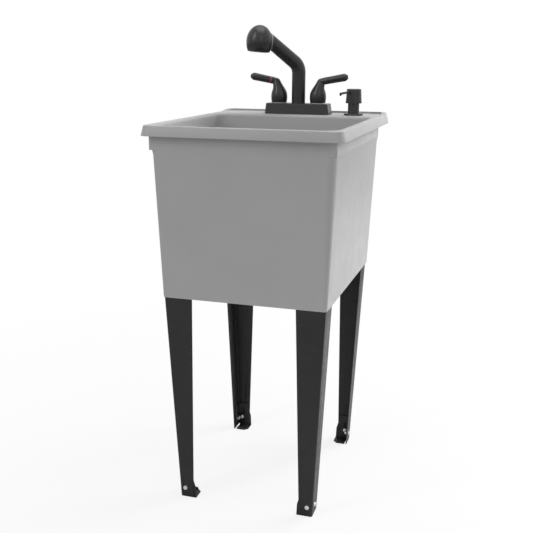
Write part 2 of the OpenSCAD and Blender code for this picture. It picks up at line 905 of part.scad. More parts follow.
// Slip nut: screwed on the drain's tube, its inner lip carries the tailpiece's flange
module tailpiece_nut() {
    slip_r = drain_tube_r + slip_wall;
    color("#e2e3e4")
        at_drain(tube_end_z - washer_t - tail_flange_t - washer_t) difference() {
            union() {
                cylinder(h = slip_h, r = slip_r);
                for (a = [0:45:315])
                    rotate(a)
                        translate([slip_r - slip_rib / 2, -slip_rib / 2, 0])
                            cube([slip_rib, slip_rib, slip_h]);
            }
            translate([0, 0, -over]) cylinder(h = slip_h + 2 * over, r = tail_r + tail_step + fit);
            translate([0, 0, washer_t]) cylinder(h = slip_h, r = drain_tube_r + play);
        }
}

module drain_stopper() {
    body_h = cone_h - 2 * stopper_in;
    low_r = cone_at(stopper_in) - fit;
    high_r = cone_at(stopper_in + body_h) - fit;
    color("#26282a") at_drain(seat_z + cone_z + stopper_in)
        rotate_extrude() polygon([
            [0, 0], [low_r, 0], [high_r, body_h], [high_r - flange_edge, body_h + flange_edge],
            [knob_neck + flange_edge, body_h + flange_edge],
            [knob_neck, stopper_h - knob_neck], [knob_r, stopper_h - flange_edge],
            [knob_r - flange_edge, stopper_h], [0, stopper_h]
        ]);
}

// Faucet: heights are above the deck
base_top = pad_t + base_h;
inside_top = base_top - base_wall;
hole_play = 2;
pad_in = 1;
socket_r = 17.5;
socket_wall = 3;
bushing_r = 15.5;
bushing_z = 6;
hose_hole_r = 9.5;
spigot_r = 13.5;
spigot_wall = 2.5;
tower_r = 14;
way_r = 8;
shank_bore_r = 6;
relief_h = 2;
relief_in = 1;
relief_z = -rim_t - washer_t - shank_nut_h - fit - relief_h;
outlet_y = 13;
outlet_r = 4;
outlet_bore_r = 2.5;
nut_flange_h = 3;
nut_wing = 4;
hex_h = 4;
hex_in = 2;
handle_wall = 2.5;
glide_in = 1.6;
// Height of the set screw, as a share of the elbow's height
screw_share = 0.58;
set_r = 2;
set_len = 7;
key_r = 1;
handle_z = base_top + glide_t + fit;
valve_z = inside_top / 2;
bonnet_top = handle_z + bulb_z + hex_in;
stem_top = handle_z + elbow_z - elbow_r - hex_in;
set_z = handle_z + elbow_z * screw_share;

module at_faucet() {
    translate([0, faucet_y, rim_z]) children();
}

module at_handle(side) {
    at_faucet() on_side(side) translate([handle_x, 0, 0]) children();
}

module base_gasket() {
    outer = base_w - 2 * pad_in;
    outer_y = base_d / 2 - pad_in;
    inner = base_w - 4 * base_wall;
    inner_y = base_d / 2 - 2 * base_wall;
    color("#1d1e20") at_faucet() linear_extrude(pad_t) difference() {
        rounded_plate(outer, outer_y, outer_y, base_r - pad_in);
        rounded_plate(inner, inner_y, inner_y, base_r - 2 * base_wall);
    }
}

module faucet_base() {
    color("#36383b") at_faucet() difference() {
        translate([0, 0, pad_t])
            leaning_block(base_w, base_d, base_r, base_h, base_lean, base_round);
        translate([0, 0, pad_t - over])
            leaning_block(base_w - 2 * base_wall, base_d - 2 * base_wall, base_r - base_wall,
                base_h - base_wall + over, base_lean, base_round / 2);
        translate([0, 0, inside_top - over]) {
            cylinder(h = base_wall + 2 * over, r = spigot_r + 2 * fit);
            for (x = [-handle_x, handle_x])
                translate([x, 0, 0]) cylinder(h = base_wall + 2 * over, r = cartridge_r + fit);
        }
    }
}

// Brass body: two valve towers, the spout's socket and the water way that joins them
module faucet_body() {
    color("#b08d57") at_faucet() difference() {
        union() {
            for (x = [-handle_x, handle_x]) translate([x, 0, 0]) {
                cylinder(h = inside_top, r = tower_r);
                translate([0, 0, -shank_len]) cylinder(h = shank_len + over, r = shank_r);
            }
            cylinder(h = inside_top, r = bushing_r + socket_wall);
            translate([-handle_x, 0, valve_z - outlet_r]) rotate([0, 90, 0])
                cylinder(h = 2 * handle_x, r = way_r);
            translate([0, outlet_y, -shank_len / 2])
                cylinder(h = shank_len / 2 + over, r = outlet_r);
        }
        for (x = [-handle_x, handle_x]) translate([x, 0, 0]) {
            translate([0, 0, valve_z]) cylinder(h = inside_top, r = cartridge_r + play);
            translate([0, 0, -shank_len - over])
                cylinder(h = shank_len + valve_z + 2 * over, r = shank_bore_r);
        }
        // relief between the threads of the locknuts and of the supply hoses
        for (x = [-handle_x, handle_x])
            translate([x, 0, relief_z]) ring(shank_r + over, shank_r - relief_in, relief_h);
        translate([0, 0, bushing_z]) cylinder(h = inside_top, r = bushing_r + play);
        translate([0, 0, -over]) cylinder(h = bushing_z + 2 * over, r = hose_hole_r);
        translate([0, outlet_y, -shank_len / 2 - over])
            cylinder(h = shank_len / 2 + valve_z, r = outlet_bore_r);
    }
}

module at_shanks(z) {
    at_faucet() for (x = [-handle_x, handle_x]) translate([x, 0, z]) children();
}

module shank_washers() {
    color("#2a2b2d")
        at_shanks(-rim_t - washer_t) ring(shank_nut_r + pad_in, shank_r + play, washer_t);
}

module shank_nuts() {
    hub_r = shank_nut_r - nut_wing;
    color("#3a3c3f") at_shanks(-rim_t - washer_t - shank_nut_h) difference() {
        union() {
            cylinder(h = shank_nut_h, r = hub_r);
            translate([0, 0, shank_nut_h - nut_flange_h])
                cylinder(h = nut_flange_h, r = shank_nut_r);
            for (a = [0:60:300])
                rotate(a)
                    translate([hub_r - hex_in, -nut_flange_h / 2, 0])
                        cube([nut_wing, nut_flange_h, shank_nut_h]);
        }
        translate([0, 0, -over]) cylinder(h = shank_nut_h + 2 * over, r = shank_r + play);
    }
}

module cartridge(side) {
    color("#c2a15c") at_handle(side) difference() {
        union() {
            translate([0, 0, valve_z]) cylinder(h = bonnet_top - valve_z, r = cartridge_r);
            translate([0, 0, bonnet_top - hex_in - hex_h])
                cylinder(h = hex_h, r = cartridge_r + hex_in, $fn = 6);
        }
        translate([0, 0, valve_z - over])
            cylinder(h = bonnet_top - valve_z + 2 * over, r = stem_r + play);
    }
}

module valve_stem(side) {
    color("#d0b070") at_handle(side)
        translate([0, 0, valve_z + hex_in]) cylinder(h = stem_top - valve_z - hex_in, r = stem_r);
}

module glide_ring(side) {
    color("#c9ccce") at_handle(side)
        translate([0, 0, base_top])
            ring(bulb_r - glide_in, cartridge_r + hex_in + fit, glide_t);
}

// Sections of the handle's neck, as shares of elbow_z, bulb_r and elbow_x
neck_shares = [
    [0.27, 1.000, 0.00],
    [0.45, 0.965, 0.00],
    [0.58, 0.830, 0.02],
    [0.71, 0.655, 0.10],
    [0.85, 0.560, 0.50]
];
// Outline of the bulb below its widest part, as shares of bulb_r and bulb_z
bulb_shares = [[0.93, 0], [0.95, 0.15], [0.98, 0.5], [1, 1]];

// Bulb and neck of a handle: the lever leaves along +X
module handle_shell() {
    n = len(neck_shares);
    rotate_extrude() polygon([
        [0, 0],
        for (share = bulb_shares) [bulb_r * share[0], elbow_z * neck_shares[0][0] * share[1]],
        [0, elbow_z * neck_shares[0][0]]
    ]);
    for (i = [0:n - 1])
        hull() {
            neck_disc(neck_shares[i]);
            if (i < n - 1) neck_disc(neck_shares[i + 1]);
            else translate([elbow_x, 0, elbow_z]) sphere(r = elbow_r, $fn = blend_fn);
        }
}

module neck_disc(share) {
    translate([elbow_x * share[2], 0, elbow_z * share[0]])
        cylinder(h = slice, r = bulb_r * share[1], $fn = blend_fn);
}

// Places children on the lever's axis, at the elbow, pointing along the lever with +Z
module at_lever(side) {
    at_handle(side)
        translate([elbow_x, 0, handle_z + elbow_z])
            rotate([0, 90 - lever_rise, 0])
                children();
}

lever_len = (lever_reach - elbow_x) / cos(lever_rise);
lever_groove = 0.6;
ring_proud = 0.35;

module handle(side) {
    tip_r = lever_r + lever_swell;
    color("#2f3134") difference() {
        union() {
            at_handle(side) translate([0, 0, handle_z]) handle_shell();
            at_lever(side) difference() {
                rotate_extrude() polygon([
                    [0, 0], [lever_r, 0], [tip_r, lever_len - tip_chamfer],
                    [tip_r - tip_chamfer, lever_len], [0, lever_len]
                ]);
                translate([0, 0, ring_at]) ring(tip_r + over, lever_r - lever_groove, ring_w);
            }
        }
        // hollow over the valve, bore for the stem and hole for the set screw
        at_handle(side) {
            translate([0, 0, handle_z - over])
                cylinder(h = bonnet_top + 2 * over - handle_z,
                    r = bulb_r * bulb_shares[0][0] - handle_wall);
            cylinder(h = stem_top, r = stem_r + play);
            translate([0, 0, set_z])
                rotate([-90, 0, 0]) cylinder(h = bulb_r + over, r = set_r + play);
        }
    }
}

module lever_ring(side, tint) {
    color(tint) at_lever(side)
        translate([0, 0, ring_at])
            ring(lever_r + ring_proud, lever_r - lever_groove + play, ring_w);
}

module set_screw(side) {
    color("#6d7074")
        at_handle(side)
            translate([0, 0, set_z])
                rotate([-90, 0, 0])
                    translate([0, 0, stem_r]) difference() {
                        cylinder(h = set_len, r = set_r);
                        translate([0, 0, set_len - set_r])
                            cylinder(h = set_r + over, r = key_r, $fn = 6);
                    }
}

// Spout: drawn with its arm along +X, then swung
spout_bore = spout_r - spout_wall;
spigot_bore = spigot_r - spigot_wall;
tube_z = base_top + fit;
spigot_z = bushing_z + fit;
o_ring_z = (bushing_z + inside_top) / 2;
o_ring_r = 0.85;
rise_top = bend_z - bend_tan;
// The straight stretches run this far into the bend, and lie this far inside its two skins
lap = 1;
skin = 0.1;

module at_spout() {
    at_faucet() rotate(-90 - spout_swing) children();
}

// Places children on the arm's axis with +Z along it, measured from the bend's corner
module on_arm(s) {
    translate([0, 0, bend_z]) rotate([0, bend_turn, 0]) translate([0, 0, s]) children();
}

// Places children at the middle of the head's face with +Z up the head's axis
module at_head() {
    translate([head_x, 0, head_z]) rotate([0, -head_tilt, 0]) children();
}

// All that lies on the arm's side of the seam, and gap further off
module arm_side(gap) {
    at_head() translate([-seam_x - gap - rim_w, -rim_w / 2, -rim_w / 2])
        cube([rim_w, rim_w, rim_w]);
}

// All that lies on the head's side of a plane, gap before the seam
module head_side(gap) {
    at_head() translate([-seam_x - gap, -rim_w / 2, -rim_w / 2]) cube([rim_w, rim_w, rim_w]);
}

module spout() {
    groove_r = spigot_r - 2 * o_ring_r;
    outer = spout_r - skin;
    inner = spout_bore + skin;
    color("#2f3134") at_spout() {
        rotate_extrude() polygon([
            [spigot_bore, spigot_z], [spigot_r, spigot_z],
            [spigot_r, o_ring_z - o_ring_r], [groove_r, o_ring_z - o_ring_r],
            [groove_r, o_ring_z + o_ring_r], [spigot_r, o_ring_z + o_ring_r],
            [spigot_r, tube_z], [outer, tube_z], [outer, rise_top + lap],
            [inner, rise_top + lap], [inner, tube_z + spigot_wall],
            [spigot_bore, tube_z + spigot_wall]
        ]);
        translate([bend_r, 0, rise_top])
            rotate([90, 0, 0])
                rotate(180 - bend_turn)
                    rotate_extrude(angle = bend_turn)
                        translate([bend_r, 0]) difference() {
                            circle(spout_r);
                            circle(spout_bore);
                        }
        difference() {
            on_arm(bend_tan - lap) difference() {
                cylinder(h = arm_len - bend_tan, r1 = outer, r2 = arm_r);
                translate([0, 0, -over]) cylinder(h = arm_len, r = inner);
            }
            head_side(collar_t);
        }
    }
}

module spout_o_ring() {
    color("#151617")
        at_spout()
            translate([0, 0, o_ring_z])
                rotate_extrude() translate([spigot_r - o_ring_r, 0]) circle(o_ring_r - slice);
}

module spout_bushing() {
    color("#d8d9da") at_faucet() translate([0, 0, bushing_z])
        ring(bushing_r, spigot_r + play, inside_top - bushing_z);
}

module spout_collar() {
    color("#9a9da1") at_spout() difference() {
        on_arm(bend_tan) ring(arm_r, spout_bore, arm_len - bend_tan);
        head_side(0);
        arm_side(collar_t);
    }
}

// Half section of the head: a skirt that draws in to the face, under a round dome
skirt_depth = head_waist / sqrt(1 - pow(face_r / head_r, 2));
dome_steps = 12;
skirt_steps = 5;
head_section = [
    [0, 0],
    for (i = [0:skirt_steps - 1])
        let (z = head_waist * i / skirt_steps)
            [head_r * sqrt(1 - pow((head_waist - z) / skirt_depth, 2)), z],
    for (i = [0:dome_steps])
        let (a = 90 * i / dome_steps)
            [head_r * cos(a), head_waist + head_lift * sin(a)]
];
face_in = 4;
face_depth = 5;
face_rim = 1;
nub_r = 0.9;
connector_r = 8;
guide_h = 4;
hose_wall = 2;
// Place of the seam on the arm's axis, and of its nearest edge inside the arm's bore
seam_lean = arm_rise - head_tilt;
seam_s = (head_x * cos(head_tilt) + (head_z - bend_z) * sin(head_tilt) - seam_x) / cos(seam_lean);
seam_edge = seam_s - spout_bore * tan(seam_lean);
// Ends of the hose's nipple along the arm
nipple_from = seam_edge - guide_h - 2 * fit;
nipple_to = arm_len - head_r / 3;
// Rows of nozzles in the face: radius as a share of face_r, and their number
nub_shares = [[0.64, 16], [0.42, 10], [0.2, 5]];

module spray_head() {
    color("#2c2e31") at_spout() difference() {
        union() {
            at_head() rotate_extrude() polygon(head_section);
            on_arm(nipple_from) cylinder(h = arm_len - nipple_from, r = arm_r);
        }
        arm_side(-fit);
        at_head() translate([0, 0, -over]) cylinder(h = face_depth + over, r = face_r - face_in);
        on_arm(0) cylinder(h = nipple_to, r = connector_r + play);
    }
}

module spray_face() {
    rim = face_r - face_in - play;
    color("#b9bcc0") at_spout() at_head() {
        rotate_extrude() polygon([
            [0, face_rim], [rim - 3 * face_rim, face_rim], [rim - 2.5 * face_rim, -face_rim],
            [rim - face_rim, -face_rim], [rim, 0], [rim, face_depth - play],
            [0, face_depth - play]
        ]);
        for (row = nub_shares, i = [0:row[1] - 1])
            rotate(360 * i / row[1])
                translate([face_r * row[0], 0, -face_rim / 2])
                    cylinder(h = 2 * face_rim, r = nub_r, $fn = 16);
    }
}

// Nipple that joins the hose to the head, with a guide that runs in the arm
module hose_connector() {
    color("#b08d57") at_spout() on_arm(nipple_from) difference() {
        union() {
            cylinder(h = nipple_to - nipple_from, r = connector_r);
            cylinder(h = guide_h, r = spout_bore - fit);
        }
        translate([0, 0, -over])
            cylinder(h = nipple_to - nipple_from + 2 * over, r = hose_r - hose_wall);
    }
}

module spray_hose() {
    // the last stretch stays in the arm when the head is drawn right out
    start = nipple_from - hose_travel - guide_h;
    color("#55585c") at_spout()
        on_arm(start) ring(hose_r, hose_r - hose_wall, nipple_from - start);
}

// Soap pump: heights are above the deck
soap_edge = 1.5;
soap_nut_t = 8;
soap_nut_wall = 5;
collar_bore = 8;
collar_top_t = 3;
rod_r = 3.5;
chamber_r = 4.5;
spring_r = 6;
wire_r = 0.6;
spring_turns = 5;
spring_seat = -9;
shoulder_t = 1.7;
shoulder_in = 2;
piston_h = 6;
piston_z = -34;
barrel_r = 10.5;
barrel_end = -62;
nipple_r = 3;
nipple_len = 10;
nipple_bore = 1.5;
neck_h = 16;
bottle_slope_h = 10;
bottle_neck_wall = 2.5;
cap_gap = 1.5;
cap_wall_gap = 2.75;
cap_top_t = 3.5;
nozzle_drop = 4;
nozzle_tip = 5;
nozzle_bore_wall = 1.1;
tube_gap = 8;
tube_wall = 1.15;
shoulder_z = collar_z - collar_top_t - shoulder_in;
cap_low = collar_z - fit;
boss_z = collar_z + pump_stroke + cap_gap;
rod_top = cap_z - 2 * cap_top_t;
bottle_z = neck_h - soap_shank_len - bottle_h;

module at_soap() {
    translate([soap_x, soap_y, rim_z]) children();
}

module soap_flange() {
    color("#2b2d2f") at_soap() difference() {
        union() {
            rotate_extrude() leaning_section(soap_flange_r, soap_flange_t, soap_edge, soap_edge);
            translate([0, 0, -soap_shank_len])
                cylinder(h = soap_shank_len + soap_edge, r = soap_shank_r);
        }
        translate([0, 0, -soap_shank_len - over])
            cylinder(h = soap_shank_len + soap_flange_t + 2 * over, r = barrel_r + play);
    }
}

module soap_nut() {
    color("#3a3c3f") at_soap() translate([0, 0, -rim_t - soap_nut_t]) difference() {
        union() {
            cylinder(h = soap_nut_t, r = soap_shank_r + soap_nut_wall);
            for (a = [0:90:270])
                rotate(a)
                    translate([soap_shank_r + cap_gap, -soap_edge, 0])
                        cube([soap_nut_wall + 2 * soap_edge, 2 * soap_edge, soap_nut_t]);
        }
        translate([0, 0, -over]) cylinder(h = soap_nut_t + 2 * over, r = soap_shank_r + play);
    }
}

module soap_bottle() {
    bore = soap_shank_r + play;
    neck_r = soap_shank_r + bottle_neck_wall;
    wide_h = bottle_h - neck_h - bottle_slope_h;
    color("#d9dbdc") at_soap() translate([0, 0, bottle_z]) rotate_extrude() polygon([
        [0, 0], [bottle_r, 0], [bottle_r, wide_h], [neck_r, bottle_h - neck_h],
        [neck_r, bottle_h], [bore, bottle_h], [bore, bottle_h - neck_h - bottle_wall],
        [bottle_r - bottle_wall, wide_h - bottle_wall], [bottle_r - bottle_wall, bottle_wall],
        [0, bottle_wall]
    ]);
}

module soap_pump_body() {
    guide_z = collar_z - collar_top_t;
    color("#2e3032") at_soap() difference() {
        union() {
            translate([0, 0, soap_flange_t])
                cylinder(h = collar_z - soap_flange_t, r = collar_r);
            translate([0, 0, barrel_end])
                cylinder(h = soap_flange_t + over - barrel_end, r = barrel_r);
            translate([0, 0, barrel_end - nipple_len])
                cylinder(h = nipple_len + over, r = nipple_r);
        }
        translate([0, 0, spring_seat]) cylinder(h = guide_z - spring_seat, r = collar_bore);
        translate([0, 0, barrel_end + bottle_wall])
            cylinder(h = spring_seat - barrel_end, r = chamber_r);
        translate([0, 0, guide_z - over])
            cylinder(h = collar_top_t + 2 * over, r = rod_r + play);
        translate([0, 0, barrel_end - nipple_len - over])
            cylinder(h = nipple_len + bottle_wall + 2 * over, r = nipple_bore);
    }
}

// Helical spring: rings of points along the wire, joined by triangles
module soap_spring() {
    sides = 5;
    per_turn = 14;
    rings = spring_turns * per_turn;
    rise = shoulder_z - spring_seat - 2 * (wire_r + slice);
    points = [
        for (i = [0:rings], k = [0:sides - 1])
            let (
                turn = 360 * i / per_turn,
                around = 360 * k / sides,
                r = spring_r + wire_r * cos(around)
            )
                [r * cos(turn), r * sin(turn), rise * i / rings + wire_r * sin(around)]
    ];
    faces = [
        [for (k = [0:sides - 1]) k],
        [for (k = [sides - 1:-1:0]) rings * sides + k],
        for (i = [0:rings - 1], k = [0:sides - 1])
            let (a = i * sides + k, b = i * sides + (k + 1) % sides)
                each [[a, a + sides, b + sides], [a, b + sides, b]]
    ];
    color("#c5c8ca")
        at_soap() translate([0, 0, spring_seat + wire_r + slice]) polyhedron(points, faces);
}

module soap_stem() {
    color("#cfd2d4") at_soap() {
        translate([0, 0, piston_z]) cylinder(h = rod_top - piston_z, r = rod_r);
        translate([0, 0, piston_z]) cylinder(h = piston_h, r = chamber_r - play);
        translate([0, 0, shoulder_z]) cylinder(h = shoulder_t, r = collar_bore - fit);
    }
}

module soap_head() {
    cap_h = cap_z - cap_low;
    from = cap_r / 2;
    out = nozzle_reach - from;
    nozzle_z = cap_z - cap_top_t - nozzle_r;
    tip_z = nozzle_z - nozzle_drop - nozzle_tip;
    color("#2b2d2f") at_soap() rotate(-90 - nozzle_turn) difference() {
        union() {
            difference() {
                translate([0, 0, cap_low])
                    rotate_extrude() leaning_section(cap_r, cap_h, cap_lean, cap_lean);
                translate([0, 0, cap_low - over])
                    cylinder(h = cap_h - cap_top_t + over, r = collar_r + cap_wall_gap);
            }
            translate([0, 0, boss_z])
                cylinder(h = cap_z - boss_z - cap_gap, r = rod_r + cap_top_t);
            translate([from, 0, nozzle_z])
                rotate([0, 90 + atan(nozzle_drop / out), 0])
                    cylinder(h = norm([nozzle_drop, out]), r = nozzle_r);
            translate([nozzle_reach, 0, nozzle_z - nozzle_drop]) sphere(r = nozzle_r + skin);
            translate([nozzle_reach, 0, tip_z])
                cylinder(h = nozzle_tip, r1 = nozzle_r - nozzle_bore_wall / 2, r2 = nozzle_r);
        }
        translate([0, 0, cap_low - over]) cylinder(h = rod_top - cap_low + over, r = rod_r + play);
        translate([nozzle_reach, 0, tip_z - over])
            cylinder(h = nozzle_tip + over, r = nozzle_r - nozzle_bore_wall);
    }
}

module dip_tube() {
    low = bottle_z + tube_gap;
    color("#e6e8e9") at_soap() translate([0, 0, low])
        ring(nipple_r + play + tube_wall, nipple_r + play, barrel_end - slice - low);
}

tub();
leg(-1, -1);  // leg_front_left
leg(1, -1);  // leg_front_right
leg(-1, 1);  // leg_back_left
leg(1, 1);  // leg_back_right
foot(-1, -1);  // foot_front_left
foot(1, -1);  // foot_front_right
foot(-1, 1);  // foot_back_left
foot(1, 1);  // foot_back_right
foot_screws();
foot_nuts();
drain_flange();
drain_gasket();
drain_locknut();
tailpiece_washer();
drain_tailpiece();
tailpiece_nut();
drain_stopper();
base_gasket();
faucet_base();
faucet_body();
shank_washers();
shank_nuts();
cartridge(-1);  // hot_cartridge
cartridge(1);  // cold_cartridge
valve_stem(-1);  // hot_stem
valve_stem(1);  // cold_stem
glide_ring(-1);  // hot_glide_ring
glide_ring(1);  // cold_glide_ring
handle(-1);  // hot_handle
handle(1);  // cold_handle
lever_ring(-1, "#8a3a48");  // hot_ring
lever_ring(1, "#2a3038");  // cold_ring
set_screw(-1);  // hot_set_screw
set_screw(1);  // cold_set_screw
spout_bushing();
spout_o_ring();
spout();
spout_collar();
spray_head();
spray_face();
hose_connector();
spray_hose();
soap_flange();
soap_nut();
soap_bottle();
soap_pump_body();
soap_spring();
soap_stem();
soap_head();
dip_tube();
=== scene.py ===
import json
import math

import bmesh
import bpy
from mathutils import Matrix, Vector


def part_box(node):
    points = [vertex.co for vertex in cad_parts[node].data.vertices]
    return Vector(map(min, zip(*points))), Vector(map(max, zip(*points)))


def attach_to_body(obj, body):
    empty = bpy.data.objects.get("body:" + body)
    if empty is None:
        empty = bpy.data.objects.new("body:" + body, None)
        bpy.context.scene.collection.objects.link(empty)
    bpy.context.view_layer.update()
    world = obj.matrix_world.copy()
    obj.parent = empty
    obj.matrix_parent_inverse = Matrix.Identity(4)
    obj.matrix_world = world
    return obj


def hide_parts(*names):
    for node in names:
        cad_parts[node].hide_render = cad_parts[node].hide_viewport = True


# Laundry sink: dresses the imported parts, adds the pieces that need softer forms, sets up the studio.
# Pieces are given in mm and degrees, the studio and the camera in metres.
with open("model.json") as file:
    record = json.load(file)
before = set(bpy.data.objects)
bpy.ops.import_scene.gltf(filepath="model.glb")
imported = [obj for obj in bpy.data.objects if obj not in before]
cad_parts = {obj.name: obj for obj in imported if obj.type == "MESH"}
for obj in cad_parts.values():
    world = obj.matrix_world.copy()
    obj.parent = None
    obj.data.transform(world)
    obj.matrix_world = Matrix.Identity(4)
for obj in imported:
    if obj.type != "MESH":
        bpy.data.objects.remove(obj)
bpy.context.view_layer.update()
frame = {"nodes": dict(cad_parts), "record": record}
nodes = frame["nodes"]
record = frame["record"]
bodyOf = {node: body for body, group in record["behaviour"]["bodies"].items() for node in group}
slotOf = {part["node"]: part["material_slot"] for part in record["subparts"]}
mm = 0.001


# tools for selecting and finishing a piece

def deselectAll():
    if bpy.context.object and bpy.context.object.mode != "OBJECT":
        bpy.ops.object.mode_set(mode="OBJECT")
    bpy.ops.object.select_all(action="DESELECT")


def makeActive(piece):
    deselectAll()
    piece.select_set(True)
    bpy.context.view_layer.objects.active = piece


def placeInMesh(piece):
    makeActive(piece)
    bpy.ops.object.transform_apply(location=True, rotation=True, scale=True)


def applyModifiers(piece):
    makeActive(piece)
    for modifier in list(piece.modifiers):
        bpy.ops.object.modifier_apply(modifier=modifier.name)


def turnFacesOutwards(piece):
    makeActive(piece)
    bpy.ops.object.mode_set(mode="EDIT")
    bpy.ops.mesh.select_all(action="SELECT")
    bpy.ops.mesh.normals_make_consistent(inside=False)
    bpy.ops.object.mode_set(mode="OBJECT")


def smoothByAngle(piece, degrees):
    makeActive(piece)
    bpy.ops.object.shade_smooth_by_angle(angle=math.radians(degrees))


def middleOf(nodeName):
    low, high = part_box(nodeName)
    return [round(c / mm, 2) for c in (low + high) / 2]


def attach(piece, nodeName):
    # the piece stands for the node: same body, same finish
    piece.data.materials.clear()
    piece.data.materials.append(finishes[slotOf[nodeName]])
    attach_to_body(piece, bodyOf[nodeName])
    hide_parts(nodeName)


# a node's mesh is loose triangles: its copy has near corners welded and flat areas made one face
copyCare = {"weld": 0.002, "flat": 0.6}


def copyOfNode(nodeName, pieceName):
    piece = nodes[nodeName].copy()
    piece.data = nodes[nodeName].data.copy()
    piece.name = pieceName
    piece.parent = None
    for key in [k for k in piece.keys() if k.startswith("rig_")]:
        del piece[key]
    bpy.context.scene.collection.objects.link(piece)
    makeActive(piece)
    bpy.ops.object.mode_set(mode="EDIT")
    bpy.ops.mesh.customdata_custom_splitnormals_clear()
    bpy.ops.mesh.select_all(action="SELECT")
    bpy.ops.mesh.remove_doubles(threshold=copyCare["weld"] * mm)
    bpy.ops.mesh.dissolve_limited(angle_limit=math.radians(copyCare["flat"]))
    bpy.ops.object.mode_set(mode="OBJECT")
    return piece


def isSharp(edge, degrees):
    return len(edge.link_faces) == 2 and edge.calc_face_angle(0) > math.radians(degrees)


def selectEdges(piece, wanted):
    # wanted(edge, a, b) says whether an edge from a to b, in mm, is taken
    mesh = bmesh.from_edit_mesh(piece.data)
    count = 0
    for element in list(mesh.verts) + list(mesh.faces):
        element.select = False
    for edge in mesh.edges:
        a, b = edge.verts[0].co / mm, edge.verts[1].co / mm
        edge.select = wanted(edge, a, b)
        count += edge.select
    bmesh.update_edit_mesh(piece.data)
    return count


def bevelEdges(piece, wanted, width, segments):
    makeActive(piece)
    bpy.ops.object.mode_set(mode="EDIT")
    bpy.ops.mesh.select_mode(type="EDGE")
    count = selectEdges(piece, wanted)
    if count:
        bpy.ops.mesh.bevel(offset=width * mm, offset_type="OFFSET", segments=segments,
                           clamp_overlap=True)
    bpy.ops.object.mode_set(mode="OBJECT")
    return count


# finishes: colours are linear, mottle, grain and wave are noise scales per metre, depths are in mm
finishSettings = {
    "tub_plastic": {
        "colour": (0.43, 0.43, 0.435), "shade": (0.41, 0.41, 0.416), "mottle": 9.0,
        "rough": (0.36, 0.48), "grain": 1500.0, "grainDepth": 0.05, "wave": 14.0, "waveDepth": 0.5},
    "leg_paint": {
        "colour": (0.021, 0.021, 0.022), "shade": (0.016, 0.016, 0.017), "mottle": 30.0,
        "rough": (0.38, 0.5), "grain": 2200.0, "grainDepth": 0.07, "wave": 60.0, "waveDepth": 0.05,
        "specular": 0.34},
    "foot_paint": {
        "colour": (0.022, 0.022, 0.023), "shade": (0.016, 0.016, 0.017), "mottle": 60.0,
        "rough": (0.35, 0.5), "grain": 2200.0, "grainDepth": 0.07, "wave": 80.0, "waveDepth": 0.05,
        "specular": 0.34},
    "bronze": {
        "colour": (0.024, 0.024, 0.025), "shade": (0.02, 0.02, 0.021), "mottle": 45.0,
        "rough": (0.27, 0.31), "grain": 1400.0, "grainDepth": 0.0015, "wave": 50.0,
        "waveDepth": 0.004, "specular": 0.42},
    "dark_plastic": {
        "colour": (0.034, 0.034, 0.036), "shade": (0.029, 0.029, 0.03), "mottle": 50.0,
        "rough": (0.33, 0.4), "grain": 1600.0, "grainDepth": 0.04, "wave": 60.0, "waveDepth": 0.03},
    "light_plastic": {
        "colour": (0.58, 0.59, 0.61), "shade": (0.5, 0.51, 0.53), "mottle": 60.0,
        "rough": (0.35, 0.45), "grain": 1600.0, "grainDepth": 0.03, "wave": 60.0, "waveDepth": 0.03},
    "grey_plastic": {
        "colour": (0.36, 0.37, 0.39), "shade": (0.3, 0.31, 0.33), "mottle": 60.0,
        "rough": (0.35, 0.45), "grain": 1600.0, "grainDepth": 0.03, "wave": 60.0, "waveDepth": 0.03},
    "white_plastic": {
        "colour": (0.72, 0.72, 0.71), "shade": (0.66, 0.66, 0.64), "mottle": 25.0,
        "rough": (0.35, 0.45), "grain": 1400.0, "grainDepth": 0.03, "wave": 30.0, "waveDepth": 0.05},
    "red_plastic": {
        "colour": (0.3, 0.075, 0.1), "shade": (0.22, 0.05, 0.07), "mottle": 90.0,
        "rough": (0.25, 0.35), "grain": 1600.0, "grainDepth": 0.02, "wave": 90.0, "waveDepth": 0.02},
    "black_rubber": {
        "colour": (0.022, 0.022, 0.024), "shade": (0.015, 0.015, 0.016), "mottle": 40.0,
        "rough": (0.55, 0.7), "grain": 1300.0, "grainDepth": 0.08, "wave": 40.0, "waveDepth": 0.04},
    "zinc": {
        "colour": (0.75, 0.76, 0.77), "shade": (0.6, 0.61, 0.62), "mottle": 140.0, "metal": 1.0,
        "rough": (0.26, 0.4), "grain": 1800.0, "grainDepth": 0.04, "wave": 90.0, "waveDepth": 0.05},
    "chrome": {
        "colour": (0.72, 0.73, 0.74), "shade": (0.66, 0.67, 0.68), "mottle": 30.0, "metal": 1.0,
        "rough": (0.1, 0.2), "grain": 1200.0, "grainDepth": 0.01, "wave": 30.0, "waveDepth": 0.02},
    "brass": {
        "colour": (0.62, 0.46, 0.22), "shade": (0.5, 0.36, 0.17), "mottle": 70.0, "metal": 1.0,
        "rough": (0.28, 0.42), "grain": 1500.0, "grainDepth": 0.03, "wave": 80.0, "waveDepth": 0.04},
}
# what all finishes share: how fine each noise is, the part of its range in use, how strong bumps are
finishMake = {"mottleDetail": 5.0, "rubbedDetail": 3.0, "rubbedScale": 2.7, "noiseRange": (0.3, 0.7),
              "grainDetail": 2.0, "grainStrength": 0.5, "waveDetail": 1.0, "waveStrength": 0.35}


def addNoise(tree, place, scale, detail):
    noise = tree.nodes.new("ShaderNodeTexNoise")
    noise.inputs["Scale"].default_value = scale
    noise.inputs["Detail"].default_value = detail
    tree.links.new(place.outputs["Object"], noise.inputs["Vector"])
    return noise.outputs["Fac"]


